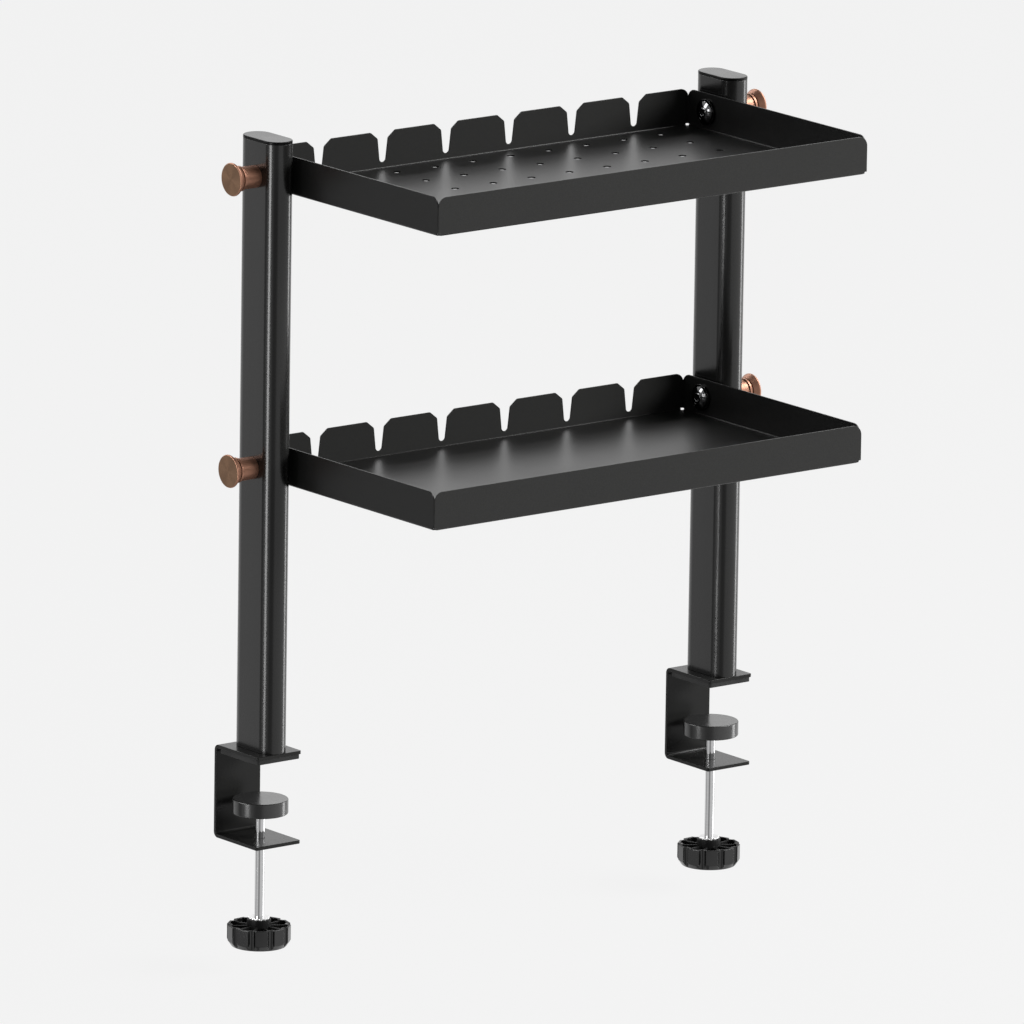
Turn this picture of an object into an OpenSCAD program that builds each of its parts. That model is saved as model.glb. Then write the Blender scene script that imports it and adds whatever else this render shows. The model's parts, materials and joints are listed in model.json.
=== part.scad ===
// Two-tier tray rack that clamps to the back edge of a desk.
// The origin is on the desk top, midway between the two clamps, where the desk's back edge stops
// against the clamp spines. +X runs along the trays, +Y away from the user and +Z up.

/* [Trays] */
// Outside width of each tray
tray_w = 450; // [380:1:600]
// Outside depth of each tray, front to back
tray_d = 241.5; // [180:0.5:300]
// Outside height of the tray walls
wall_h = 32.5; // [28:0.5:45]
// Thickness of the tray sheet
sheet_t = 1.2; // [0.8:0.1:1.6]
// Outside radius of the bend between floor and wall
bend_r = 2.2; // [1.8:0.1:3]
// Radius of the top corners of each wall
corner_r = 8.5; // [3:0.5:12]
// Width of the open seam at each upright corner
seam_w = 0.2; // [0.2:0.1:0.8]
// Diameter of the relief hole at each floor corner
relief_d = 3; // [3:0.5:5]
// Height of the lower tray's underside above the desk top
lower_tray_z = 232; // [120:1:260]
// Distance from the underside of one tray to the underside of the next
tray_spacing = 247; // [150:1:320]

/* [Back wall slots] */
// Number of V-shaped slots in the back wall
slot_count = 6; // [3:1:6]
// Distance from one slot to the next
slot_pitch = 66.6; // [48:0.2:68]
// Width of a slot just below the tooth chamfers
slot_top_w = 10.8; // [8:0.2:14]
// Width of a slot's round bottom end
slot_end_w = 6.8; // [4:0.2:7.6]
// Height of a slot's bottom above the tray's underside
slot_floor = 6.2; // [5:0.2:10]
// Length along the wall of each tooth's corner chamfer
tooth_chamfer_w = 7.4; // [3:0.2:9]
// Height of each tooth's corner chamfer
tooth_chamfer_h = 5.9; // [3:0.1:7]
// Radius that rounds both ends of the chamfer
tooth_round_r = 2.5; // [0.5:0.5:4]

/* [Floor holes of the upper tray] */
// Diameter of a floor hole
hole_d = 7; // [3:0.5:10]
// Distance between neighbouring floor holes
hole_pitch = 40; // [24:0.5:40]
// Holes along the width
hole_columns = 10; // [2:1:10]
// Holes along the depth
hole_rows = 6; // [2:1:6]

/* [Uprights] */
// Front-to-back width of the oblong tube
tube_w = 52; // [46:1:70]
// Side-to-side thickness of the oblong tube
tube_t = 25; // [22:1:32]
// Wall thickness of the tube
tube_wall = 1.5; // [1:0.1:2.5]
// Distance from the upper tray's bolts up to the top of the tube
tube_over_bolt = 29.5; // [20:0.5:60]
// Clear distance between the tube and the clamp's spine
tube_back_gap = 5; // [3:0.5:10]
// Thickness of the end cap's flange
cap_t = 2.5; // [1.5:0.1:5]
// Chamfer around the end cap's flange
cap_chamfer = 0.5; // [0.2:0.1:1]
// Depth of the end cap's plug inside the tube
cap_plug_h = 12; // [6:0.5:12]
// Wall thickness of the end cap's plug
cap_plug_wall = 2; // [1.2:0.1:3]
// Height of the base block inside the foot of the tube
base_block_h = 16; // [12:0.5:30]
// Gap between a plug or block and the inside of the tube
plug_gap = 0.05; // [0.02:0.01:0.1]

/* [Base screws] */
// Thread diameter of the two screws under each upright
base_screw_d = 6; // [5:0.5:6]
// Diameter of their countersunk heads
base_head_d = 12; // [10.5:0.5:12.5]
// Height of their countersunk heads
base_head_h = 2.8; // [2.2:0.1:2.9]
// Length of the screws
base_screw_l = 14; // [10:0.5:16]
// Distance between the two screws
base_screw_pitch = 26; // [22:0.5:28]
// Gap between screw and hole
screw_gap = 0.15; // [0.1:0.05:0.2]

/* [Tray bolts] */
// Diameter of the bolt that holds each end of a tray
bolt_d = 8; // [6:0.5:8]
// Distance from the bolt to the tray's back face
bolt_from_back = 28; // [24:0.5:40]
// Height of the bolt above the tray's underside
bolt_up = 16.5; // [15.5:0.1:17]
// Diameter of the low round bolt head
bolt_head_d = 19; // [14:0.5:20]
// Height of the bolt head
bolt_head_h = 3.2; // [2.5:0.1:4]
// Width across flats of the hexagon socket in the bolt head
bolt_socket_w = 5; // [4:0.5:6]
// Depth of the hexagon socket
bolt_socket_h = 2.2; // [1.5:0.1:2.2]
// Length of thread inside the thumb nut
bolt_grip = 14; // [8:0.5:16]
// Outside diameter of the washer under the bolt head
washer_d = 22.6; // [19:0.2:23]
// Thickness of the washer under the bolt head
washer_t = 2.5; // [1:0.1:4]
// Outside diameter of the spacer between tray and upright
spacer_d = 20; // [16:0.5:24]
// Thickness of the spacer between tray and upright
spacer_t = 2.5; // [1:0.1:4]
// Radial gap between a bolt and the hole in the tray or the thumb nut
running_gap = 0.08; // [0.05:0.01:0.1]
// Radial gap between a bolt and the hole in the upright
tube_hole_gap = 0.25; // [0.1:0.05:0.5]

/* [Thumb nuts] */
// Diameter of the face
nut_face_d = 28; // [24:0.5:34]
// Diameter of the neck
nut_neck_d = 19; // [16:0.5:20.5]
// Distance from the upright to the face
nut_l = 25; // [22:0.5:32]
// Width of the straight rim behind the face
nut_rim_w = 1.6; // [1:0.1:2.4]
// Width of the bevel behind the rim
nut_bevel_w = 4.6; // [3:0.1:5.5]
// Diameter of the collar between bevel and neck
nut_collar_d = 21.4; // [21:0.2:22.6]
// Width of the collar
nut_collar_w = 2.2; // [1.5:0.1:3]
// Width of the groove between bevel and collar
nut_groove_w = 0.8; // [0.5:0.1:1.2]
// Chamfer around the face
nut_chamfer = 0.6; // [0.3:0.1:1]

/* [Clamps] */
// Width of the bent clamp plate
clamp_w = 46; // [38:0.5:46]
// Thickness of the bent clamp plate
plate_t = 3; // [3:0.1:4.5]
// Outside height of the clamp
clamp_h = 80; // [72:1:120]
// Inside radius of the clamp plate's two bends
clamp_bend_r = 2; // [1:0.1:2.5]
// Radius of the clamp plate's front corners
plate_corner_r = 2; // [0.5:0.1:4]
// Thickness of the rubber seat pad
seat_t = 4; // [2:0.1:5]
// Distance of the seat pad's edge from the plate's edge
seat_inset = 1; // [0.5:0.1:3]

/* [Clamp screws] */
// Diameter of the clamp screw
rod_d = 8; // [6:0.5:10]
// Chamfer on the clamp screw's tip
rod_chamfer = 0.8; // [0.4:0.1:1.2]
// Radial gap between the clamp screw and the hole that it turns in
rod_gap = 0.08; // [0.05:0.01:0.1]
// Diameter of the pressure pad
pad_d = 47; // [38:0.5:56]
// Thickness of the pressure pad
pad_t = 12.5; // [10:0.5:16]
// Chamfer around the pressure pad
pad_chamfer = 0.6; // [0.2:0.1:1.5]
// Depth of the socket in the pressure pad
pad_socket_h = 8; // [5:0.5:8]
// Desk thickness that the clamps are set to
desk_t = 36; // [20:0.5:45]
// Distance from the pressure pad to the knob's rim
rod_reach = 96; // [90:0.5:120]

/* [Clamp knobs] */
// Diameter of the circle that touches the flat lobes of the clamp knob
knob_d = 52.6; // [46:0.2:64]
// Height of the knob's rim
knob_h = 18; // [14:0.5:26]
// Number of lobes
knob_lobes = 10; // [6:1:12]
// Angle of the first groove between two lobes
knob_turn = 4; // [0:1:36]
// Diameter of the round groove between two lobes
knob_groove_d = 6; // [4:0.2:7]
// Depth of the groove between two lobes
knob_groove_h = 2.4; // [1:0.1:2.8]
// Inset of the chamfer around the knob's bottom edge
knob_chamfer = 3; // [1:0.2:3.2]
// Height of the chamfer around the knob's bottom edge
knob_chamfer_h = 4.4; // [2:0.2:5.2]
// Wall thickness of the knob
knob_wall = 2; // [1.5:0.1:2.5]
// Thickness of the knob's floor
knob_floor_t = 3; // [2:0.1:5]
// Diameter of the knob's hub
knob_hub_d = 20; // [18:0.5:26]
// Height of the hub above the knob's rim
knob_hub_rise = 4.6; // [0:0.1:8]
// Thickness of the ribs between hub and rim
knob_rib_t = 1.8; // [1:0.1:3]
// Distance of the ribs below the rim
knob_rib_drop = 1; // [0.5:0.5:8]
// Diameter of the toothed washer on the hub
star_d = 17.8; // [14:0.2:18]
// Thickness of the toothed washer
star_t = 1.6; // [1:0.1:2.5]
// Number of teeth on the toothed washer
star_teeth = 14; // [8:1:18]
// Diameter of the round notch between two teeth
star_notch_d = 2.2; // [1.5:0.1:2.6]

/* [Hidden] */
$fn = 96;

// Overshoot of a cutting body past the face that it cuts
cut = 1;
// Straight steps in the arc at each end of a tooth's chamfer
arc_steps = 4;
// Side names: the left side is at -X
left = -1;
right = 1;
// Places across the rack
tube_x = tray_w / 2 + spacer_t + tube_t / 2;
// Places front to back
tube_y = -(tube_back_gap + tube_w / 2);
tray_back_y = tube_y + bolt_from_back;
tray_mid_y = tray_back_y - tray_d / 2;
clamp_front_y = tube_y - tube_w / 2;
// Heights
plate_top_z = seat_t + plate_t;
clamp_bottom_z = plate_top_z - clamp_h;
upper_tray_z = lower_tray_z + tray_spacing;
tube_top_z = upper_tray_z + bolt_up + tube_over_bolt;
tube_h = tube_top_z - plate_top_z;
pad_top_z = -desk_t;
pad_bottom_z = pad_top_z - pad_t;
knob_top_z = pad_bottom_z - rod_reach;
knob_bottom_z = knob_top_z - knob_h;
hub_top_z = knob_top_z + knob_hub_rise;
// Bends
bend_in_r = bend_r - sheet_t;
clamp_bend_out_r = clamp_bend_r + plate_t;
// Colours
satin_black = [0.05, 0.05, 0.05];
cap_grey = [0.12, 0.12, 0.12];
rubber_black = [0.03, 0.03, 0.03];
gloss_black = [0.02, 0.02, 0.02];
copper = [0.45, 0.27, 0.18];
chrome = [0.75, 0.76, 0.78];
steel = [0.5, 0.51, 0.52];

// Oblong outline: straight flats facing the sides, round ends facing front and back
module oblong(w, t) {
    square([t, w - t], center = true);
    for (end = [-1, 1])
        translate([0, end * (w - t) / 2])
            circle(d = t);
}

// Oblong body whose edge profile is turned around both round ends and run along the flats.
// The profile's points are [distance from the middle line, height].
module oblong_turned(w, t, profile) {
    for (end = [-1, 1])
        translate([0, end * (w - t) / 2, 0])
            rotate_extrude()
                polygon(profile);
    for (turn = [0, 180])
        rotate([0, 0, turn])
            rotate([90, 0, 0])
                translate([0, 0, -(w - t) / 2])
                    linear_extrude(w - t)
                        polygon(profile);
}

// Rectangle with its four corners rounded by true arcs
module rounded_rect(w, d, r) {
    square([w - 2 * r, d], center = true);
    square([w, d - 2 * r], center = true);
    for (sx = [-1, 1], sy = [-1, 1])
        translate([sx * (w / 2 - r), sy * (d / 2 - r)])
            circle(r = r);
}

// Round body around the X axis, starting at x and growing towards the given side
module along_x(x, side) {
    translate([x, 0, 0])
        rotate([0, side * 90, 0])
            children();
}

// Uprights

module upright(side) {
    color(satin_black)
        difference() {
            translate([side * tube_x, tube_y, plate_top_z])
                linear_extrude(tube_h)
                    difference() {
                        oblong(tube_w, tube_t);
                        oblong(tube_w - 2 * tube_wall, tube_t - 2 * tube_wall);
                    }
            for (z = [lower_tray_z, upper_tray_z])
                translate([0, tube_y, z + bolt_up])
                    along_x(side * (tube_x - tube_t / 2 - cut), side)
                        cylinder(d = bolt_d + 2 * tube_hole_gap, h = tube_t + 2 * cut);
        }
}

module end_cap(side) {
    half = tube_t / 2;
    plug_t = tube_t - 2 * (tube_wall + plug_gap);
    plug_w = tube_w - 2 * (tube_wall + plug_gap);
    color(cap_grey)
        translate([side * tube_x, tube_y, tube_top_z]) {
            oblong_turned(tube_w, tube_t,
                [[0, 0], [half, 0], [half, cap_t - cap_chamfer], [half - cap_chamfer, cap_t], [0, cap_t]]);
            translate([0, 0, -cap_plug_h])
                linear_extrude(cap_plug_h)
                    difference() {
                        oblong(plug_w, plug_t);
                        oblong(plug_w - 2 * cap_plug_wall, plug_t - 2 * cap_plug_wall);
                    }
        }
}

// Solid block pressed into the foot of the tube, with two threaded holes
module base_block(side) {
    color(steel)
        translate([side * tube_x, tube_y, plate_top_z])
            difference() {
                linear_extrude(base_block_h)
                    oblong(tube_w - 2 * (tube_wall + plug_gap), tube_t - 2 * (tube_wall + plug_gap));
                for (end = [-1, 1])
                    translate([0, end * base_screw_pitch / 2, -cut])
                        cylinder(d = base_screw_d + 2 * plug_gap, h = base_block_h + 2 * cut);
            }
}

// Two countersunk screws that hold the upright to the clamp's top plate from below
module base_screws(side) {
    for (end = [-1, 1])
        color(steel)
            translate([side * tube_x, tube_y + end * base_screw_pitch / 2, seat_t])
                rotate_extrude()
                    polygon([[0, 0], [base_head_d / 2, 0], [base_screw_d / 2, base_head_h],
                             [base_screw_d / 2, base_screw_l], [0, base_screw_l]]);
}

// Clamps

// Side view of the bent plate: top leg, spine and bottom leg, with its mouth towards the user
module clamp_profile() {
    leg = -clamp_front_y;
    difference() {
        union() {
            translate([-leg, 0])
                square([leg - clamp_bend_r, clamp_h]);
            translate([-clamp_bend_r, clamp_bend_out_r])
                square([clamp_bend_out_r, clamp_h - 2 * clamp_bend_out_r]);
            for (z = [clamp_bend_out_r, clamp_h - clamp_bend_out_r])
                translate([-clamp_bend_r, z])
                    circle(r = clamp_bend_out_r);
        }
        translate([-leg - cut, plate_t])
            square([leg + cut - clamp_bend_r, clamp_h - 2 * plate_t]);
        translate([-clamp_bend_r - cut, clamp_bend_out_r])
            square([clamp_bend_r + cut, clamp_h - 2 * clamp_bend_out_r]);
        for (z = [clamp_bend_out_r, clamp_h - clamp_bend_out_r])
            translate([-clamp_bend_r, z])
                circle(r = clamp_bend_r);
    }
}

module clamp_bracket(side) {
    reach = plate_t - clamp_front_y;
    head_r = base_head_d / 2 + screw_gap;
    shank_r = base_screw_d / 2 + screw_gap;
    color(satin_black)
        translate([side * tube_x, 0, clamp_bottom_z])
            difference() {
                intersection() {
                    translate([-clamp_w / 2, 0, 0])
                        rotate([90, 0, 90])
                            linear_extrude(clamp_w)
                                clamp_profile();
                    translate([0, clamp_front_y + reach, -cut])
                        linear_extrude(clamp_h + 2 * cut)
                            rounded_rect(clamp_w, 2 * reach, plate_corner_r);
                }
                translate([0, tube_y, -cut])
                    cylinder(d = rod_d + 2 * rod_gap, h = plate_t + 2 * cut);
                for (end = [-1, 1])
                    translate([0, tube_y + end * base_screw_pitch / 2, clamp_h - plate_t])
                        rotate_extrude()
                            polygon([[0, -cut], [head_r, -cut], [head_r, 0], [shank_r, base_head_h],
                                     [shank_r, plate_t + cut], [0, plate_t + cut]]);
            }
}

module seat_pad(side) {
    pad_front_y = clamp_front_y + seat_inset;
    pad_back_y = -clamp_bend_r - seat_inset;
    color(rubber_black)
        translate([side * tube_x, (pad_front_y + pad_back_y) / 2, 0])
            linear_extrude(seat_t)
                rounded_rect(clamp_w - 2 * seat_inset, pad_back_y - pad_front_y, plate_corner_r);
}

// Round pad that swivels on the end of the clamp screw and presses on the desk from below
module pressure_pad(side) {
    r = pad_d / 2;
    socket_r = rod_d / 2 + rod_gap;
    color(rubber_black)
        translate([side * tube_x, tube_y, pad_bottom_z])
            rotate_extrude()
                polygon([[0, pad_socket_h], [socket_r, pad_socket_h], [socket_r, 0],
                         [r - pad_chamfer, 0], [r, pad_chamfer],
                         [r, pad_t - pad_chamfer], [r - pad_chamfer, pad_t], [0, pad_t]]);
}

module clamp_screw(side) {
    foot_z = knob_bottom_z + knob_floor_t;
    length = pad_bottom_z + pad_socket_h - rod_gap - foot_z;
    color(chrome)
        translate([side * tube_x, tube_y, foot_z])
            rotate_extrude()
                polygon([[0, 0], [rod_d / 2, 0], [rod_d / 2, length - rod_chamfer],
                         [rod_d / 2 - rod_chamfer, length], [0, length]]);
}

// Polygon with one side for each lobe at the distance r, and a round groove cut into each corner
module lobed_outline(r, groove_r, groove_depth) {
    difference() {
        rotate([0, 0, knob_turn])
            circle(r = r / cos(180 / knob_lobes), $fn = knob_lobes);
        for (i = [0 : knob_lobes - 1])
            rotate([0, 0, knob_turn + i * 360 / knob_lobes])
                translate([r - groove_depth + groove_r, 0])
                    circle(r = groove_r, $fn = 32);
    }
}

// Lobed hand knob, open at the top, with a hub on ribs around the screw. A cone cuts the chamfer
// around its bottom edge.
module clamp_knob(side) {
    r = knob_d / 2;
    groove_r = knob_groove_d / 2;
    full_h = knob_h + knob_hub_rise;
    cone_r = r - knob_chamfer;
    color(gloss_black)
        translate([side * tube_x, tube_y, knob_bottom_z])
            intersection() {
                difference() {
                    union() {
                        difference() {
                            linear_extrude(knob_h)
                                lobed_outline(r, groove_r, knob_groove_h);
                            translate([0, 0, knob_floor_t])
                                linear_extrude(knob_h)
                                    lobed_outline(r - knob_wall, groove_r + knob_wall, knob_groove_h);
                        }
                        cylinder(d = knob_hub_d, h = full_h);
                        for (i = [0 : knob_lobes - 1])
                            rotate([0, 0, knob_turn + i * 360 / knob_lobes])
                                translate([0, -knob_rib_t / 2, 0])
                                    cube([r - knob_groove_h - knob_wall / 2, knob_rib_t, knob_h - knob_rib_drop]);
                    }
                    translate([0, 0, knob_floor_t])
                        cylinder(d = rod_d, h = full_h);
                }
                cylinder(r1 = cone_r, r2 = cone_r + full_h * knob_chamfer / knob_chamfer_h, h = full_h);
            }
}

// Thin toothed washer pressed on the screw, on top of the hub
module knob_washer(side) {
    color(chrome)
        translate([side * tube_x, tube_y, hub_top_z])
            linear_extrude(star_t)
                difference() {
                    circle(d = star_d);
                    circle(d = rod_d);
                    for (i = [0 : star_teeth - 1])
                        rotate([0, 0, i * 360 / star_teeth])
                            translate([star_d / 2 + star_notch_d / 4, 0])
                                circle(d = star_notch_d, $fn = 24);
                }
}

// Trays

// Outline of a wall above the bend, with rounded top corners. Heights count from the tray's underside.
module wall_outline(length) {
    translate([-length / 2, bend_r])
        square([length, wall_h - corner_r - bend_r]);
    translate([-length / 2 + corner_r, bend_r])
        square([length - 2 * corner_r, wall_h - bend_r]);
    for (end = [-1, 1])
        translate([end * (length / 2 - corner_r), wall_h - corner_r])
            circle(r = corner_r);
}

// Points of the arc of radius r that rounds the corner at p, whose two edges leave it in the
// directions from and to. The arc turns from the first edge to the second.
function rounded_corner(p, from, to, r) =
    let (half = (to - from) / 2,
         centre = p + r / sin(half) * [cos(from + half), sin(from + half)],
         start = from - 90,
         sweep = 2 * half - 180)
    [for (i = [0 : arc_steps]) centre + r * [cos(start + sweep * i / arc_steps),
                                             sin(start + sweep * i / arc_steps)]];

// V-shaped slot with a round end, widened at the top by the rounded chamfers of the teeth beside it
module slot_outline() {
    end_z = slot_floor + slot_end_w / 2;
    neck = [slot_top_w / 2, wall_h - tooth_chamfer_h];
    mouth = [neck.x + tooth_chamfer_w, wall_h];
    chamfer_angle = atan2(tooth_chamfer_h, tooth_chamfer_w);
    flank_angle = atan2(neck.y - end_z, neck.x - slot_end_w / 2);
    half_outline = concat([[slot_end_w / 2, end_z]],
        rounded_corner(neck, 180 + flank_angle, 360 + chamfer_angle, tooth_round_r),
        rounded_corner(mouth, 180 + chamfer_angle, 360, tooth_round_r));
    top = [mouth.x + tooth_round_r, wall_h + cut];
    translate([0, end_z])
        circle(d = slot_end_w, $fn = 48);
    for (flip = [0, 1])
        mirror([flip, 0])
            polygon(concat([[0, end_z]], half_outline, [top, [0, top.y]]));
}

// Quarter-round bend along X, from the floor up to a wall whose outer face lies at y = 0
module bend(length) {
    translate([-length / 2, bend_r, bend_r])
        rotate([90, 0, 90])
            linear_extrude(length)
                intersection() {
                    difference() {
                        circle(r = bend_r, $fn = 48);
                        circle(r = bend_in_r, $fn = 48);
                    }
                    translate([-bend_r, -bend_r])
                        square(bend_r);
                }
}

// One wall with its bend, standing on the line y = 0 with the tray towards +y
module wall_flap(length, slots) {
    bend(length - 2 * bend_r);
    translate([0, sheet_t, 0])
        rotate([90, 0, 0])
            linear_extrude(sheet_t)
                difference() {
                    wall_outline(length);
                    for (i = [1 : slots])
                        translate([(i - (slots + 1) / 2) * slot_pitch, 0])
                            slot_outline();
                }
}

// Flat floor between the bends, with the grid of round holes if it is perforated
module tray_floor(perforated) {
    linear_extrude(sheet_t)
        difference() {
            square([tray_w - 2 * bend_r, tray_d - 2 * bend_r], center = true);
            if (perforated)
                for (i = [0 : hole_columns - 1], j = [0 : hole_rows - 1])
                    translate([(i - (hole_columns - 1) / 2) * hole_pitch,
                               (j - (hole_rows - 1) / 2) * hole_pitch])
                        circle(d = hole_d, $fn = 32);
        }
}

// Tray folded from one sheet, centred on the origin with its underside at z = 0. The front and back
// walls run the full width and the side walls fit between them.
module tray_sheet(perforated) {
    side_wall_l = tray_d - 2 * (sheet_t + seam_w);
    difference() {
        union() {
            tray_floor(perforated);
            translate([0, -tray_d / 2, 0])
                wall_flap(tray_w, 0);
            translate([0, tray_d / 2, 0])
                rotate([0, 0, 180])
                    wall_flap(tray_w, slot_count);
            for (side = [left, right])
                translate([side * tray_w / 2, 0, 0])
                    rotate([0, 0, side * 90])
                        wall_flap(side_wall_l, 0);
        }
        for (sx = [left, right], sy = [-1, 1])
            translate([sx * (tray_w / 2 - bend_r), sy * (tray_d / 2 - bend_r), -cut])
                cylinder(d = relief_d, h = bend_r + 2 * cut, $fn = 32);
        translate([-tray_w / 2 - cut, tray_d / 2 - bolt_from_back, bolt_up])
            rotate([0, 90, 0])
                cylinder(d = bolt_d + 2 * running_gap, h = tray_w + 2 * cut);
    }
}

module tray(z, perforated) {
    color(satin_black)
        translate([0, tray_mid_y, z])
            tray_sheet(perforated);
}

// Tray fixings. Each is turned around the bolt's axis; heights run outwards from the tray's middle.

module bolt(side, z) {
    head_x = tray_w / 2 - sheet_t - washer_t - bolt_head_h;
    head_r = bolt_head_d / 2;
    shank_l = bolt_head_h + washer_t + sheet_t + spacer_t + tube_t + bolt_grip;
    dome_r = (head_r * head_r + bolt_head_h * bolt_head_h) / (2 * bolt_head_h);
    color(chrome)
        translate([0, tube_y, z + bolt_up])
            along_x(side * head_x, side)
                difference() {
                    union() {
                        intersection() {
                            translate([0, 0, dome_r])
                                sphere(r = dome_r);
                            cylinder(r = head_r, h = bolt_head_h);
                        }
                        cylinder(d = bolt_d, h = shank_l);
                    }
                    translate([0, 0, -cut])
                        cylinder(d = bolt_socket_w / cos(30), h = bolt_socket_h + cut, $fn = 6);
                }
}

module flat_ring(outer_d, inner_d, t) {
    linear_extrude(t)
        difference() {
            circle(d = outer_d);
            circle(d = inner_d);
        }
}

module inner_washer(side, z) {
    color(gloss_black)
        translate([0, tube_y, z + bolt_up])
            along_x(side * (tray_w / 2 - sheet_t - washer_t), side)
                flat_ring(washer_d, bolt_d + 2 * tube_hole_gap, washer_t);
}

module spacer(side, z) {
    color(rubber_black)
        translate([0, tube_y, z + bolt_up])
            along_x(side * tray_w / 2, side)
                flat_ring(spacer_d, bolt_d + 2 * tube_hole_gap, spacer_t);
}

module thumb_nut(side, z) {
    face_r = nut_face_d / 2;
    neck_r = nut_neck_d / 2;
    collar_r = nut_collar_d / 2;
    bore_r = bolt_d / 2 + running_gap;
    bore_l = bolt_grip + cut;
    rim_z = nut_l - nut_rim_w;
    bevel_z = rim_z - nut_bevel_w;
    groove_z = bevel_z - nut_groove_w;
    collar_z = groove_z - nut_collar_w;
    color(copper)
        translate([0, tube_y, z + bolt_up])
            along_x(side * (tube_x + tube_t / 2), side)
                rotate_extrude()
                    polygon([[bore_r, 0], [neck_r, 0], [neck_r, collar_z], [collar_r, collar_z],
                             [collar_r, groove_z], [neck_r, groove_z], [neck_r, bevel_z],
                             [collar_r, bevel_z], [face_r, rim_z], [face_r, nut_l - nut_chamfer],
                             [face_r - nut_chamfer, nut_l], [0, nut_l], [0, bore_l], [bore_r, bore_l]]);
}

upright(left);  // left_upright
upright(right);  // right_upright
end_cap(left);  // left_end_cap
end_cap(right);  // right_end_cap
base_block(left);  // left_base_block
base_block(right);  // right_base_block
base_screws(left);  // left_base_screws
base_screws(right);  // right_base_screws
clamp_bracket(left);  // left_clamp_bracket
clamp_bracket(right);  // right_clamp_bracket
seat_pad(left);  // left_seat_pad
seat_pad(right);  // right_seat_pad
pressure_pad(left);  // left_pressure_pad
pressure_pad(right);  // right_pressure_pad
clamp_screw(left);  // left_clamp_screw
clamp_screw(right);  // right_clamp_screw
clamp_knob(left);  // left_clamp_knob
clamp_knob(right);  // right_clamp_knob
knob_washer(left);  // left_knob_washer
knob_washer(right);  // right_knob_washer
tray(upper_tray_z, true);  // upper_tray
tray(lower_tray_z, false);  // lower_tray
bolt(left, upper_tray_z);  // upper_left_bolt
bolt(right, upper_tray_z);  // upper_right_bolt
bolt(left, lower_tray_z);  // lower_left_bolt
bolt(right, lower_tray_z);  // lower_right_bolt
inner_washer(left, upper_tray_z);  // upper_left_washer
inner_washer(right, upper_tray_z);  // upper_right_washer
inner_washer(left, lower_tray_z);  // lower_left_washer
inner_washer(right, lower_tray_z);  // lower_right_washer
spacer(left, upper_tray_z);  // upper_left_spacer
spacer(right, upper_tray_z);  // upper_right_spacer
spacer(left, lower_tray_z);  // lower_left_spacer
spacer(right, lower_tray_z);  // lower_right_spacer
thumb_nut(left, upper_tray_z);  // upper_left_thumb_nut
thumb_nut(right, upper_tray_z);  // upper_right_thumb_nut
thumb_nut(left, lower_tray_z);  // lower_left_thumb_nut
thumb_nut(right, lower_tray_z);  // lower_right_thumb_nut
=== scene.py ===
# %% [markdown]
# # Desktop storage rack
#
# A clamp-on desk rack: two trays folded from black sheet steel hang on bolts between two oblong
# uprights, and each upright stands on a C-shaped screw clamp. The exact model of every piece comes
# first, as a fixed frame. What is left to do here is the part that eyes and hands notice: softened
# edges, powder coat, chrome, copper-coloured turned metal, moulded plastic and rubber, and the light.

# %% Load the exact model
import json
import math
import bmesh
import bpy
import numpy as np
from mathutils import Matrix, Vector


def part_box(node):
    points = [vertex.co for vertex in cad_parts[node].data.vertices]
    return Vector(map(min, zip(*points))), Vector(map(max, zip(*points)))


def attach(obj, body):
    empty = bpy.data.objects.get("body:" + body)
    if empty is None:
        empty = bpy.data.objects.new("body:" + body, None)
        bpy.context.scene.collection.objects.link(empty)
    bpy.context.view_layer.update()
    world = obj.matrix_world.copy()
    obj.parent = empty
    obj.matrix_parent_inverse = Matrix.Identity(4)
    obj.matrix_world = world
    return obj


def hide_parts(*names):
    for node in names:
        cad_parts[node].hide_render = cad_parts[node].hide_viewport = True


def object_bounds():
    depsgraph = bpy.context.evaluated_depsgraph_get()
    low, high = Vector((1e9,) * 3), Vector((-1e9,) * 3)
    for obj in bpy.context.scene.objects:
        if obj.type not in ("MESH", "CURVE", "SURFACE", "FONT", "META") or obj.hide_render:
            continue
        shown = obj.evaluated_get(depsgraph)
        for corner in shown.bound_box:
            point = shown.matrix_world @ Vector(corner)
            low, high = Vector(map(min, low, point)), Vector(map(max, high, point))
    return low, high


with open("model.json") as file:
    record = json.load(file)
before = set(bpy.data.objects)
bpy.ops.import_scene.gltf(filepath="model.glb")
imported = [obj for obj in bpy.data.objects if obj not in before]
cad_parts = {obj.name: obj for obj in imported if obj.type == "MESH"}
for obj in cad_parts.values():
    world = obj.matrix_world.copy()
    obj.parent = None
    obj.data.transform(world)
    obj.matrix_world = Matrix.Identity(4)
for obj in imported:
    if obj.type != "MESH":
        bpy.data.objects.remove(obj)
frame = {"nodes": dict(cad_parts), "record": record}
cad_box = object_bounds()
print("pieces in the frame:", len(frame["nodes"]))

# %% [markdown]
# ## Camera
#
# The camera was solved from the picture: the tray edges, slots, floor holes, uprights and clamps have
# known places on the rack, and one camera sees all of them where the picture shows them. It looks at
# the middle of the rack from far away through a long lens, which keeps the uprights almost parallel,
# and it is turned slightly about its own axis.

# %% Place the camera
IMAGE_PX = 1024.0
AIM = Vector((-0.02853, -0.09519, 0.19389))
AZIMUTH, ELEVATION, ROLL = math.radians(-37.8851), math.radians(13.1067), math.radians(0.8674)
DISTANCE = 12.5948
PX_PER_M = 1195.88
SENSOR_MM = 36.0

def camera_axes():
    """Unit vectors of the camera: to the right, up, and from the aim back towards the camera."""
    back = Vector((math.sin(AZIMUTH) * math.cos(ELEVATION), -math.cos(AZIMUTH) * math.cos(ELEVATION),
                   math.sin(ELEVATION)))
    right = Vector((math.cos(AZIMUTH), math.sin(AZIMUTH), 0.0))
    up = back.cross(right)
    c, s = math.cos(ROLL), math.sin(ROLL)
    return c * right + s * up, -s * right + c * up, back

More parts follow.
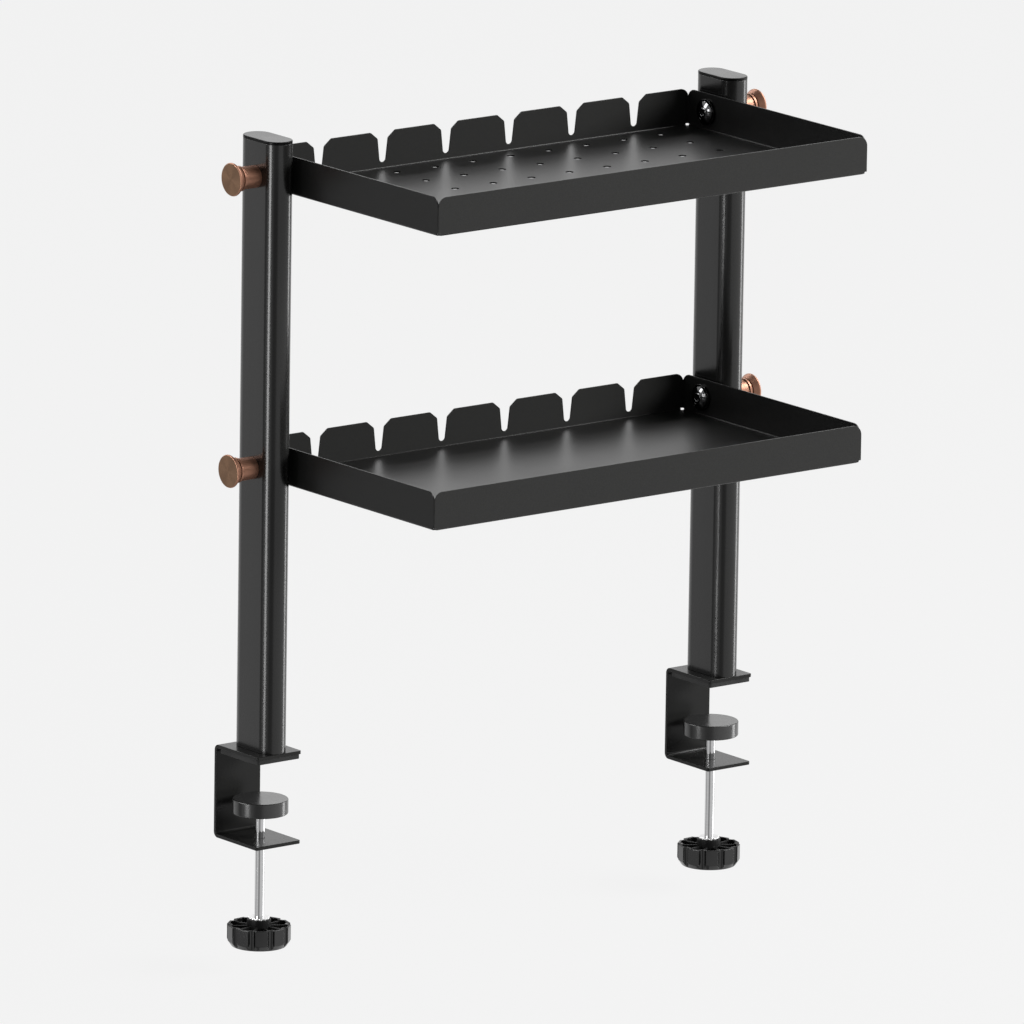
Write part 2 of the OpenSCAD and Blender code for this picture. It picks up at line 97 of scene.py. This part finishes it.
def make_camera():
    """Puts the camera on its line of sight, with the lens that gives the solved scale at the aim."""
    right, up, back = camera_axes()
    data = bpy.data.cameras.new("camera")
    data.sensor_fit = "HORIZONTAL"
    data.sensor_width = SENSOR_MM
    data.lens = PX_PER_M * DISTANCE / IMAGE_PX * SENSOR_MM
    data.clip_end = 100.0
    camera = bpy.data.objects.new("camera", data)
    turn = Matrix((right, up, back)).transposed().to_4x4()
    camera.matrix_world = Matrix.Translation(AIM + back * DISTANCE) @ turn
    bpy.context.scene.collection.objects.link(camera)
    bpy.context.scene.camera = camera
    return camera

camera = make_camera()
print("lens", round(camera.data.lens, 1), "mm")

# %% [markdown]
# ## Studio
#
# Black gloss shows its surroundings more than its own colour, so the studio is built from what each
# face of the rack mirrors. The camera looks down at 13 degrees, so an upright face mirrors the
# surroundings a little below its own level, a floor mirrors them a little above, and a round tube mirrors
# the whole turn of the compass. Gloss therefore reads its level from a ramp by compass direction: pale
# sides behind the rack for the floors, and dimmer gaps that put dark lines beside the bright ones on
# tubes and screws. High up it fades to a dark ceiling. Plain light is a soft gradient, brighter to the
# front right.

# %% Read the world by direction
PAPER = 0.888
GLOSS_LEVELS = [
    (-180, 0.7), (-156, 0.65), (-148, 0.3), (-122, 0.3), (-114, 0.75), (-90, 0.75), (-52, 0.8),
    (-10, 0.9), (52, PAPER), (128, 0.92), (134, 0.3), (148, 0.3), (153, 0.7), (180, 0.7),
]
KEY_SIDE = Vector((0.5, -0.75, 0.43)).normalized()
DIM_SIDE_LEVEL, KEY_SIDE_LEVEL = 0.03, 0.16
CEILING_LEVEL, CEILING_START, CEILING_FULL = 0.03, 0.48, 0.62

def compass_level(nodes, links, direction):
    """Level by azimuth: the angle of the direction's x and y looks up a ramp of grey levels. High up it
    fades to the dark ceiling."""
    parts = nodes.new("ShaderNodeSeparateXYZ")
    links.new(direction, parts.inputs[0])
    angle = nodes.new("ShaderNodeMath")
    angle.operation = "ARCTAN2"
    links.new(parts.outputs["Y"], angle.inputs[0])
    links.new(parts.outputs["X"], angle.inputs[1])
    share = nodes.new("ShaderNodeMapRange")
    share.inputs["From Min"].default_value, share.inputs["From Max"].default_value = -math.pi, math.pi
    links.new(angle.outputs[0], share.inputs["Value"])
    ramp = nodes.new("ShaderNodeValToRGB")
    links.new(share.outputs[0], ramp.inputs["Fac"])
    stops = ramp.color_ramp.elements
    for azimuth, level in GLOSS_LEVELS[1:-1]:
        stops.new(azimuth / 360 + 0.5).color = (level, level, level, 1)
    stops[0].color = (*[GLOSS_LEVELS[0][1]] * 3, 1)
    stops[-1].color = (*[GLOSS_LEVELS[-1][1]] * 3, 1)
    height = nodes.new("ShaderNodeMapRange")
    height.inputs["From Min"].default_value = CEILING_START
    height.inputs["From Max"].default_value = CEILING_FULL
    links.new(parts.outputs["Z"], height.inputs["Value"])
    level = nodes.new("ShaderNodeMix")
    level.data_type = "RGBA"
    level.inputs["B"].default_value = (CEILING_LEVEL, CEILING_LEVEL, CEILING_LEVEL, 1)
    links.new(height.outputs[0], level.inputs["Factor"])
    links.new(ramp.outputs["Color"], level.inputs["A"])
    return level.outputs["Result"]

def soft_gradient(nodes, links, direction):
    """Level for plain light: grows evenly with the cosine between the direction and the key side."""
    cosine = nodes.new("ShaderNodeVectorMath")
    cosine.operation = "DOT_PRODUCT"
    cosine.inputs[1].default_value = KEY_SIDE
    links.new(direction, cosine.inputs[0])
    level = nodes.new("ShaderNodeMapRange")
    level.inputs["From Min"].default_value = -1.0
    level.inputs["To Min"].default_value = DIM_SIDE_LEVEL
    level.inputs["To Max"].default_value = KEY_SIDE_LEVEL
    links.new(cosine.outputs["Value"], level.inputs["Value"])
    return level.outputs[0]

def background(nodes, links, colour=None):
    """One background shader, flat paper colour unless a colour is linked."""
    shader = nodes.new("ShaderNodeBackground")
    shader.inputs["Color"].default_value = (PAPER, PAPER, PAPER, 1)
    if colour is not None:
        links.new(colour, shader.inputs["Color"])
    return shader.outputs[0]

def studio_world():
    """Plain gradient for light, compass levels for gloss, flat paper for the camera and for glass."""
    world = bpy.data.worlds.new("studio")
    bpy.context.scene.world = world
    world.use_nodes = True
    world.cycles.sampling_method = "NONE"
    nodes, links = world.node_tree.nodes, world.node_tree.links
    nodes.clear()
    direction = nodes.new("ShaderNodeTexCoord").outputs["Generated"]
    path = nodes.new("ShaderNodeLightPath")
    shader = background(nodes, links, soft_gradient(nodes, links, direction))
    gloss = background(nodes, links, compass_level(nodes, links, direction))
    paper = background(nodes, links)
    for ray, seen in (("Is Glossy Ray", gloss), ("Is Transmission Ray", paper), ("Is Camera Ray", paper)):
        mix = nodes.new("ShaderNodeMixShader")
        links.new(path.outputs[ray], mix.inputs["Fac"])
        links.new(shader, mix.inputs[1])
        links.new(seen, mix.inputs[2])
        shader = mix.outputs[0]
    links.new(shader, nodes.new("ShaderNodeOutputWorld").inputs["Surface"])

studio_world()
print("gloss sees", len(GLOSS_LEVELS), "compass levels")

# %% [markdown]
# ## Lamps and floor
#
# Most lamps are only seen in gloss: one on the left and one on the right draw the bright lines down
# each upright and each screw, one behind lightens the backs of the floors and the caps, and those above
# are caught by folded rims, bends and round bolt heads. Only the key lamp, at the front right, lights
# plain colours. Power follows from how bright a lamp should look: brightness x pi x area.
#
# The floor is a pale sheet, just below the knobs when the clamps are opened wide. The camera sees it
# mostly as paper, with enough plain light in it to keep a soft shadow. Gloss and light pass it, as over
# a table lit from below.

# %% Hang the lamps, lay the floor
def lamp(name, place, aim, width, height, brightness, role):
    """Rectangular soft lamp that looks as bright as asked, turned towards its aim. With the role gloss it
    is only seen in gloss; with the role light it only lights plain colours."""
    data = bpy.data.lights.new(name, "AREA")
    data.shape = "RECTANGLE"
    data.size, data.size_y = width, height
    data.energy = brightness * math.pi * width * height
    light = bpy.data.objects.new(name, data)
    light.location = place
    light.rotation_euler = (Vector(aim) - Vector(place)).to_track_quat("-Z", "Y").to_euler()
    light.visible_glossy, light.visible_diffuse = role != "light", role != "gloss"
    bpy.context.scene.collection.objects.link(light)
    print(name, round(data.energy, 1), "W")

MIDDLE = (0.0, -0.1, 0.3)
lamp("left_lamp", (-3.0, 0.0, 0.3), MIDDLE, 0.7, 2.04, 9.0, "gloss")
lamp("right_lamp", (2.9, -0.85, -0.1), (0.0, -0.1, -0.1), 0.65, 2.8, 5.6, "gloss")
lamp("back_lamp", (2.2, 2.7, 1.6), MIDDLE, 3.4, 1.25, 0.85, "gloss")
lamp("rim_lamp", (0.4, 2.5, 2.6), MIDDLE, 3.0, 0.5, 6.0, "gloss")
lamp("overhead_lamp", (1.8, -0.9, 2.5), MIDDLE, 1.4, 2.0, 10.0, "gloss")
lamp("side_lamp", (-1.9, 1.3, 1.75), (0.1, -0.1, 0.5), 1.0, 1.2, 9.0, "gloss")
lamp("key_lamp", (2.6, -2.7, 1.4), MIDDLE, 3.2, 1.0, 18.0, "light")

PAPER_SHARE, FLOOR_PAPER = 0.95, 0.92
SCREW_DROP, FLOOR_REACH = 0.022, 40.0

def make_floor(z, reach):
    """Flat pale sheet under the rack, far wider than the picture, and clear when seen from below."""
    mesh = bpy.data.meshes.new("floor")
    corner = np.array([(-1, -1), (1, -1), (1, 1), (-1, 1)]) * reach
    mesh.from_pydata([(x, y, z) for x, y in corner], [], [(0, 1, 2, 3)])
    floor = bpy.data.objects.new("floor", mesh)
    bpy.context.scene.collection.objects.link(floor)
    floor.visible_glossy = floor.visible_diffuse = floor.visible_shadow = False
    material = bpy.data.materials.new("pale floor")
    material.use_nodes = True
    nodes, links = material.node_tree.nodes, material.node_tree.links
    nodes.clear()
    lit = nodes.new("ShaderNodeBsdfDiffuse")
    lit.inputs["Color"].default_value = (0.9, 0.9, 0.9, 1)
    paper = nodes.new("ShaderNodeEmission")
    paper.inputs["Color"].default_value = (FLOOR_PAPER, FLOOR_PAPER, FLOOR_PAPER, 1)
    mix = nodes.new("ShaderNodeMixShader")
    mix.inputs["Fac"].default_value = PAPER_SHARE
    links.new(lit.outputs[0], mix.inputs[1])
    links.new(paper.outputs[0], mix.inputs[2])
    clear = nodes.new("ShaderNodeMixShader")
    links.new(nodes.new("ShaderNodeNewGeometry").outputs["Backfacing"], clear.inputs["Fac"])
    links.new(mix.outputs[0], clear.inputs[1])
    links.new(nodes.new("ShaderNodeBsdfTransparent").outputs[0], clear.inputs[2])
    links.new(clear.outputs[0], nodes.new("ShaderNodeOutputMaterial").inputs["Surface"])
    mesh.materials.append(material)

make_floor(cad_box[0][2] - SCREW_DROP, FLOOR_REACH)

# %% [markdown]
# ## Softened edges
#
# No real edge is perfectly sharp. Sheet is deburred and powder coat rounds it further, and moulded
# parts have a small radius, so each edge catches a thin line of light. The exact model has sharp
# edges. Each visible piece is therefore dressed: its mesh is copied and welded, triangles that lie in
# one plane are joined, and a narrow bevel runs along every sharp edge. Weighted normals then keep the
# large faces flat and let only the bevels turn. The shape and place stay those of the exact piece.

# %% Dress a piece with softened edges
SHARP = math.radians(28.0)
FLAT = math.radians(0.05)
WELD = 2e-6
BEVEL_STEPS = 2
bodies = frame["record"]["behaviour"]["bodies"]
body_of_node = {node: body for body, nodes in bodies.items() for node in nodes}
slot_of_node = {row["node"]: row["material_slot"] for row in frame["record"]["subparts"]}

def choose_faces(shape, test):
    """Gives the second material to the faces whose centre and normal pass the test."""
    centre = np.array([face.calc_center_median() for face in shape.faces])
    normal = np.array([face.normal for face in shape.faces])
    for face, chosen in zip(shape.faces, test(centre, normal)):
        face.material_index = int(chosen)

def mark_edges(shape, crisp):
    """Bevel weight on every sharp edge. If asked, the edges between the two materials stay crisp."""
    weight = shape.edges.layers.float.new("bevel_weight_edge")
    for edge in shape.edges:
        if edge.calc_face_angle(0.0) > SHARP:
            one, other = edge.link_faces
            if crisp and one.material_index != other.material_index:
                edge.smooth = False
            else:
                edge[weight] = 1.0

def welded_copy(node, materials, test, crisp):
    """Copy of an exact piece's mesh, welded, with its flat faces joined and its sharp edges marked."""
    mesh = frame["nodes"][node].data.copy()
    mesh.name = node + "_dressed"
    mesh.materials.clear()
    for material in materials:
        mesh.materials.append(material)
    shape = bmesh.new()
    shape.from_mesh(mesh)
    bmesh.ops.remove_doubles(shape, verts=shape.verts, dist=WELD)
    bmesh.ops.dissolve_limit(shape, angle_limit=FLAT, verts=shape.verts, edges=shape.edges)
    for face in shape.faces:
        face.smooth, face.material_index = True, 0
    if test is not None:
        choose_faces(shape, test)
    mark_edges(shape, crisp)
    shape.to_mesh(mesh)
    shape.free()
    return mesh

def dressed(node, width, *materials, test=None, crisp=False):
    """Softened stand-in for an exact piece, with a bevel of the given width along its sharp edges. Faces
    that pass the test take the second material."""
    mesh = welded_copy(node, materials, test, crisp)
    piece = bpy.data.objects.new(node + "_dressed", mesh)
    bpy.context.scene.collection.objects.link(piece)
    bevel = piece.modifiers.new("softened edges", "BEVEL")
    bevel.width = width
    bevel.segments = BEVEL_STEPS
    bevel.limit_method = "WEIGHT"
    bevel.use_clamp_overlap = False
    even = piece.modifiers.new("flat faces stay flat", "WEIGHTED_NORMAL")
    even.weight = 100
    even.keep_sharp = True
    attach(piece, body_of_node[node])
    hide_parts(node)
    return piece

# %% [markdown]
# ## Materials
#
# A single flat colour is what gives a computer picture away: every real surface varies in gloss, tone and
# relief. Image textures would need seams and a fixed size. The finishes here are noises in space
# instead. They read Object coordinates, which are metres, so a noise of scale 1000 has features of one
# millimetre.

# %% Shared material helpers
def principled(name, colour, roughness, metallic=0.0):
    """New material with one Principled shader; returns both."""
    material = bpy.data.materials.new(name)
    material.use_nodes = True
    shader = material.node_tree.nodes["Principled BSDF"]
    shader.inputs["Base Color"].default_value = (*colour, 1)
    shader.inputs["Roughness"].default_value = roughness
    shader.inputs["Metallic"].default_value = metallic
    return material, shader

def grain(material, scale, detail=2.0, stretch=(1.0, 1.0, 1.0)):
    """Noise on Object coordinates; features are one over the scale in metres, divided by the stretch."""
    nodes, links = material.node_tree.nodes, material.node_tree.links
    place = nodes.new("ShaderNodeTexCoord")
    mapping = nodes.new("ShaderNodeMapping")
    mapping.inputs["Scale"].default_value = stretch
    links.new(place.outputs["Object"], mapping.inputs["Vector"])
    noise = nodes.new("ShaderNodeTexNoise")
    noise.inputs["Scale"].default_value = scale
    noise.inputs["Detail"].default_value = detail
    links.new(mapping.outputs["Vector"], noise.inputs["Vector"])
    return noise.outputs["Fac"]

NOISE_LOW, NOISE_HIGH = 0.3, 0.7

def vary(material, source, socket, low, high):
    """Spreads a noise over a range and links it to a socket of the shader."""
    nodes, links = material.node_tree.nodes, material.node_tree.links
    spread = nodes.new("ShaderNodeMapRange")
    spread.inputs["From Min"].default_value = NOISE_LOW
    spread.inputs["From Max"].default_value = NOISE_HIGH
    spread.inputs["To Min"].default_value, spread.inputs["To Max"].default_value = low, high
    links.new(source, spread.inputs["Value"])
    links.new(spread.outputs[0], nodes["Principled BSDF"].inputs[socket])

def tint(material, source, dark, light):
    """Blends between two colours by a noise and links the result to the base colour."""
    nodes, links = material.node_tree.nodes, material.node_tree.links
    ramp = nodes.new("ShaderNodeValToRGB")
    stops = ramp.color_ramp.elements
    stops[0].position, stops[0].color = NOISE_LOW, (*dark, 1)
    stops[1].position, stops[1].color = NOISE_HIGH, (*light, 1)
    links.new(source, ramp.inputs["Fac"])
    links.new(ramp.outputs["Color"], nodes["Principled BSDF"].inputs["Base Color"])

def bumpy(material, source, height):
    """Turns a noise into relief of the given height in metres, on top of any relief already there."""
    nodes, links = material.node_tree.nodes, material.node_tree.links
    bump = nodes.new("ShaderNodeBump")
    bump.inputs["Distance"].default_value = height
    bump.inputs["Strength"].default_value = 1.0
    links.new(source, bump.inputs["Height"])
    socket = nodes["Principled BSDF"].inputs["Normal"]
    if socket.is_linked:
        links.new(socket.links[0].from_socket, bump.inputs["Normal"])
    links.new(bump.outputs["Normal"], socket)

# %% [markdown]
# ### Powder coat
#
# The sheet and the tubes are near-black satin. Real powder coat has an orange peel finer than a
# millimetre, and a gloss that drifts slowly. The tubes are smoother than the trays. The walls of the
# floor holes are duller because the coat is thin there, and darker: the darker colour is painted shade
# inside the holes.

# %% Satin black powder coat
def powder_coat(name, colour, roughness, specular, peel=0.000004):
    """Near-black satin: an orange peel of the given height in metres, and a gloss that drifts slowly."""
    material, shader = principled(name, colour, roughness)
    shader.inputs["Specular IOR Level"].default_value = specular
    vary(material, grain(material, 9.0, 3.0), "Roughness", roughness - 0.02, roughness + 0.02)
    tint(material, grain(material, 1400.0, 1.0), [c * 0.85 for c in colour], [c * 1.15 for c in colour])
    bumpy(material, grain(material, 900.0, 2.0), peel)
    return material

tray_coat = powder_coat("satin black sheet", (0.028, 0.028, 0.0272), 0.36, 0.2)
tube_coat = powder_coat("satin black tube", (0.016, 0.016, 0.0155), 0.21, 0.5, 0.0000015)
clamp_coat = powder_coat("satin black clamp", (0.016, 0.016, 0.0155), 0.27, 0.22, 0.000003)
# Hole walls: painted darker as painted shade inside the holes, and duller because the coat is thin there.
hole_wall_shade = powder_coat("painted shade in the holes", (0.006, 0.006, 0.006), 0.5, 0.12)

# %% [markdown]
# ### Copper-coloured thumb nuts
#
# A thumb nut is turned on a lathe, so its tool marks are circles around its own axis. Seen on the flat
# face, such marks spread the gloss across them and draw a fan of light. The radius from the axis drives
# a fine pattern, and the tangent of the gloss follows the circles. The sides are duller, and their copper
# is painted lighter than the face's: lit and shaded copies of one copper, as painted light.

# %% Turned copper
BOLT_Y = sum(corner[1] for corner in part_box("lower_left_bolt")) / 2

def turned(name, colour, roughness, metallic, axis_z, anisotropic):
    """Metal with lathe marks: noise of the distance from an axis along X at the bolt's y and axis_z."""
    material, shader = principled(name, colour, roughness, metallic)
    nodes, links = material.node_tree.nodes, material.node_tree.links
    place = nodes.new("ShaderNodeTexCoord").outputs["Object"]
    offset = nodes.new("ShaderNodeVectorMath")
    offset.operation = "MULTIPLY_ADD"
    offset.inputs[1].default_value = (0.0, 1.0, 1.0)
    offset.inputs[2].default_value = (0.0, -BOLT_Y, -axis_z)
    links.new(place, offset.inputs[0])
    radius = nodes.new("ShaderNodeVectorMath")
    radius.operation = "LENGTH"
    links.new(offset.outputs[0], radius.inputs[0])
    along = nodes.new("ShaderNodeSeparateXYZ")
    links.new(place, along.inputs[0])
    path = nodes.new("ShaderNodeMath")
    path.operation = "ADD"
    links.new(radius.outputs["Value"], path.inputs[0])
    links.new(along.outputs["X"], path.inputs[1])
    marks = nodes.new("ShaderNodeTexNoise")
    marks.noise_dimensions = "1D"
    marks.inputs["Scale"].default_value = 5000.0
    links.new(path.outputs[0], marks.inputs["W"])
    vary(material, marks.outputs["Fac"], "Roughness", roughness - 0.04, roughness + 0.04)
    bumpy(material, marks.outputs["Fac"], 0.000003)
    if anisotropic:
        shader.inputs["Anisotropic"].default_value = anisotropic
        around = nodes.new("ShaderNodeVectorMath")
        around.operation = "CROSS_PRODUCT"
        around.inputs[0].default_value = (1.0, 0.0, 0.0)
        links.new(offset.outputs[0], around.inputs[1])
        world = nodes.new("ShaderNodeVectorTransform")
        world.vector_type, world.convert_from, world.convert_to = "VECTOR", "OBJECT", "WORLD"
        links.new(around.outputs[0], world.inputs[0])
        links.new(world.outputs[0], shader.inputs["Tangent"])
    return material

def bolt_z(level):
    """Height of a level's bolts: the middle of one bolt's box."""
    return sum(corner[2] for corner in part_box(level + "_left_bolt")) / 2

# The side's copper is painted lighter and the face's darker: painted light on one copper.
lit_copper_side, shaded_copper_face = {}, {}
for level in ("upper", "lower"):
    axis_z = bolt_z(level)
    lit_copper_side[level] = turned("copper side painted lighter " + level, (0.5, 0.25, 0.165), 0.44, 0.6, axis_z, 0.0)
    shaded_copper_face[level] = turned("copper face painted darker " + level, (0.185, 0.107, 0.064), 0.34, 1.0, axis_z, 0.7)

# %% [markdown]
# ### Moulded plastic and rubber
#
# Moulded plastic copies its polished mould: the gloss is high but a little cloudy, with sink marks a few
# millimetres wide that bend the mirror image. Rubber comes from a sandblasted mould, so its relief is
# fine and deep. One function makes both.

# %% Plastics and rubber
def moulded(name, colour, roughness, specular=0.5, fine=(1600.0, 0.000003),
            wide=(120.0, 0.00001)):
    """Moulded piece: cloudy gloss, faint speckle, a fine relief and wide shallow sink marks. Each relief
    is given as noise scale and height in metres."""
    material, shader = principled(name, colour, roughness)
    shader.inputs["Specular IOR Level"].default_value = specular
    vary(material, grain(material, 45.0, 3.0), "Roughness", roughness * 0.85, roughness * 1.15)
    tint(material, grain(material, 2200.0, 1.0), [c * 0.8 for c in colour], [c * 1.2 for c in colour])
    bumpy(material, grain(material, fine[0], 1.0), fine[1])
    bumpy(material, grain(material, wide[0], 0.0), wide[1])
    return material

cap_plastic = moulded("end cap plastic", (0.01, 0.01, 0.01), 0.18, 0.08)
# The rim is painted darker and duller than the cap: painted shade under the cap's top.
cap_rim_shade = moulded("end cap rim, painted shade", (0.004, 0.004, 0.004), 0.3, 0.1)
rubber = moulded("seat rubber", (0.02, 0.02, 0.02), 0.62, 0.4, (2500.0, 0.00004))
pad_plastic = moulded("pressure pad plastic", (0.046, 0.046, 0.046), 0.24, 0.55)
gloss_black = moulded("gloss black", (0.01, 0.01, 0.01), 0.08, 0.6)
# The inside is made dull and low in gloss so it looks dark: painted shade in the knob's hollow.
knob_inside_shade = moulded("inside of the knob, painted shade", (0.013, 0.013, 0.013), 0.5, 0.15,
                      (1500.0, 0.00001))
washer_black = moulded("polished black", (0.004, 0.004, 0.004), 0.14)

# %% [markdown]
# ### Plated and bare metal
#
# The clamp screw is ground before it is plated, so its fine lines run around it. The toothed washer and
# the bolts are plated over a rolled or forged surface with short fine lines. The base blocks inside the
# uprights are plain, with the lines of the saw. Each is a noise stretched across the lines.

# %% Metals
def lined(name, colour, roughness, stretch, scale=400.0, height=0.0000008):
    """Metal with fine lines: a noise squeezed along one axis drives gloss, tone and relief."""
    material, _ = principled(name, colour, roughness, 1.0)
    lines = grain(material, scale, 2.0, stretch)
    vary(material, lines, "Roughness", roughness * 0.8, roughness * 1.25)
    tint(material, lines, [c * 0.93 for c in colour], [min(1.0, c * 1.07) for c in colour])
    bumpy(material, lines, height)
    return material

chrome = lined("chrome", (0.62, 0.62, 0.625), 0.05, (0.3, 0.3, 8.0), 400.0, 0.0000001)
nickel = lined("bright nickel", (0.8, 0.8, 0.8), 0.12, (8.0, 0.5, 1.0))
black_nickel = lined("black nickel", (0.13, 0.13, 0.132), 0.06, (1.0, 6.0, 0.5))
sawn_metal = lined("sawn light metal", (0.5, 0.505, 0.51), 0.35, (0.3, 8.0, 0.3), 500.0, 0.000006)
zinc = lined("zinc plate", (0.55, 0.56, 0.57), 0.28, (1.0, 1.0, 6.0), 300.0, 0.000003)

# %% [markdown]
# ## Dressing the pieces
#
# Most pieces take one finish by their slot in the record. The trays also have hole walls painted darker,
# as painted shade, and duller; their edges stay crisp because the coat is thin there. The thumb nuts have
# turned faces and sides, with the sides painted lighter and the faces darker as painted light. The end
# caps have a rim painted darker and duller as painted shade under the cap's top, and the knobs are duller
# and less glossy inside, as painted shade in the hollow. The base blocks and their screws are closed in
# by the tubes, so they keep their exact mesh and only take a finish.

# %% Dress everything
MM = 0.001
FINISH = {
    "satin_black_steel": (tube_coat, 0.25),
    "seat_rubber": (rubber, 0.3),
    "pad_plastic": (pad_plastic, 0.3),
    "chrome_steel": (chrome, 0.12),
    "washer_plastic": (washer_black, 0.25),
}
UPPER_TRAY_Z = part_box("upper_tray")[0][2]
HALF_SHEET, HOLE_FIELD_X = 0.6 * MM, 200 * MM
KNOB_LOW, KNOB_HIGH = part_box("left_clamp_knob")
KNOB_SKIN_R, KNOB_SKIN_H = 22.5 * MM, 1 * MM

def upright_face(centre, normal):
    """Faces that stand more than they lie."""
    return abs(normal[:, 2]) < 0.5

def in_floor(centre, normal):
    """Faces of the floor holes: upright faces halfway up the floor sheet, away from the corners."""
    height = centre[:, 2] - UPPER_TRAY_Z
    halfway = abs(height - HALF_SHEET) < HALF_SHEET / 2
    return upright_face(centre, normal) & halfway & (abs(centre[:, 0]) < HOLE_FIELD_X)

def inside_knob(centre, normal):
    """Faces nearer to the screw's axis than the knob's grooves, above the knob's underside."""
    axis = (KNOB_LOW + KNOB_HIGH) / 2
    radius = np.hypot(abs(centre[:, 0]) - abs(axis[0]), centre[:, 1] - axis[1])
    return (radius < KNOB_SKIN_R) & (centre[:, 2] > KNOB_LOW[2] + KNOB_SKIN_H)

def end_face(centre, normal):
    """Faces whose normal lies along X."""
    return abs(normal[:, 0]) > 0.9

for node in frame["nodes"]:
    if node.endswith("_tray"):
        dressed(node, 0.25 * MM, tray_coat, hole_wall_shade, test=in_floor, crisp=True)
    elif node.endswith("thumb_nut"):
        level = node.split("_")[0]
        dressed(node, 0.35 * MM, lit_copper_side[level], shaded_copper_face[level], test=end_face)
    elif node.endswith("end_cap"):
        dressed(node, 0.25 * MM, cap_plastic, cap_rim_shade, test=upright_face)
    elif node.endswith("clamp_knob"):
        dressed(node, 0.45 * MM, gloss_black, knob_inside_shade, test=inside_knob)
    elif node.endswith("clamp_bracket"):
        dressed(node, 0.35 * MM, clamp_coat)
    elif node.endswith("_bolt"):
        dressed(node, 0.2 * MM, black_nickel)
    elif node.endswith("knob_washer"):
        dressed(node, 0.15 * MM, nickel)
    elif slot_of_node[node] in FINISH:
        material, width = FINISH[slot_of_node[node]]
        dressed(node, width * MM, material)
    else:
        carried = frame["nodes"][node].data.materials
        carried.clear()
        carried.append(zinc if node.endswith("screws") else sawn_metal)

bpy.context.scene.view_settings.view_transform = "Standard"
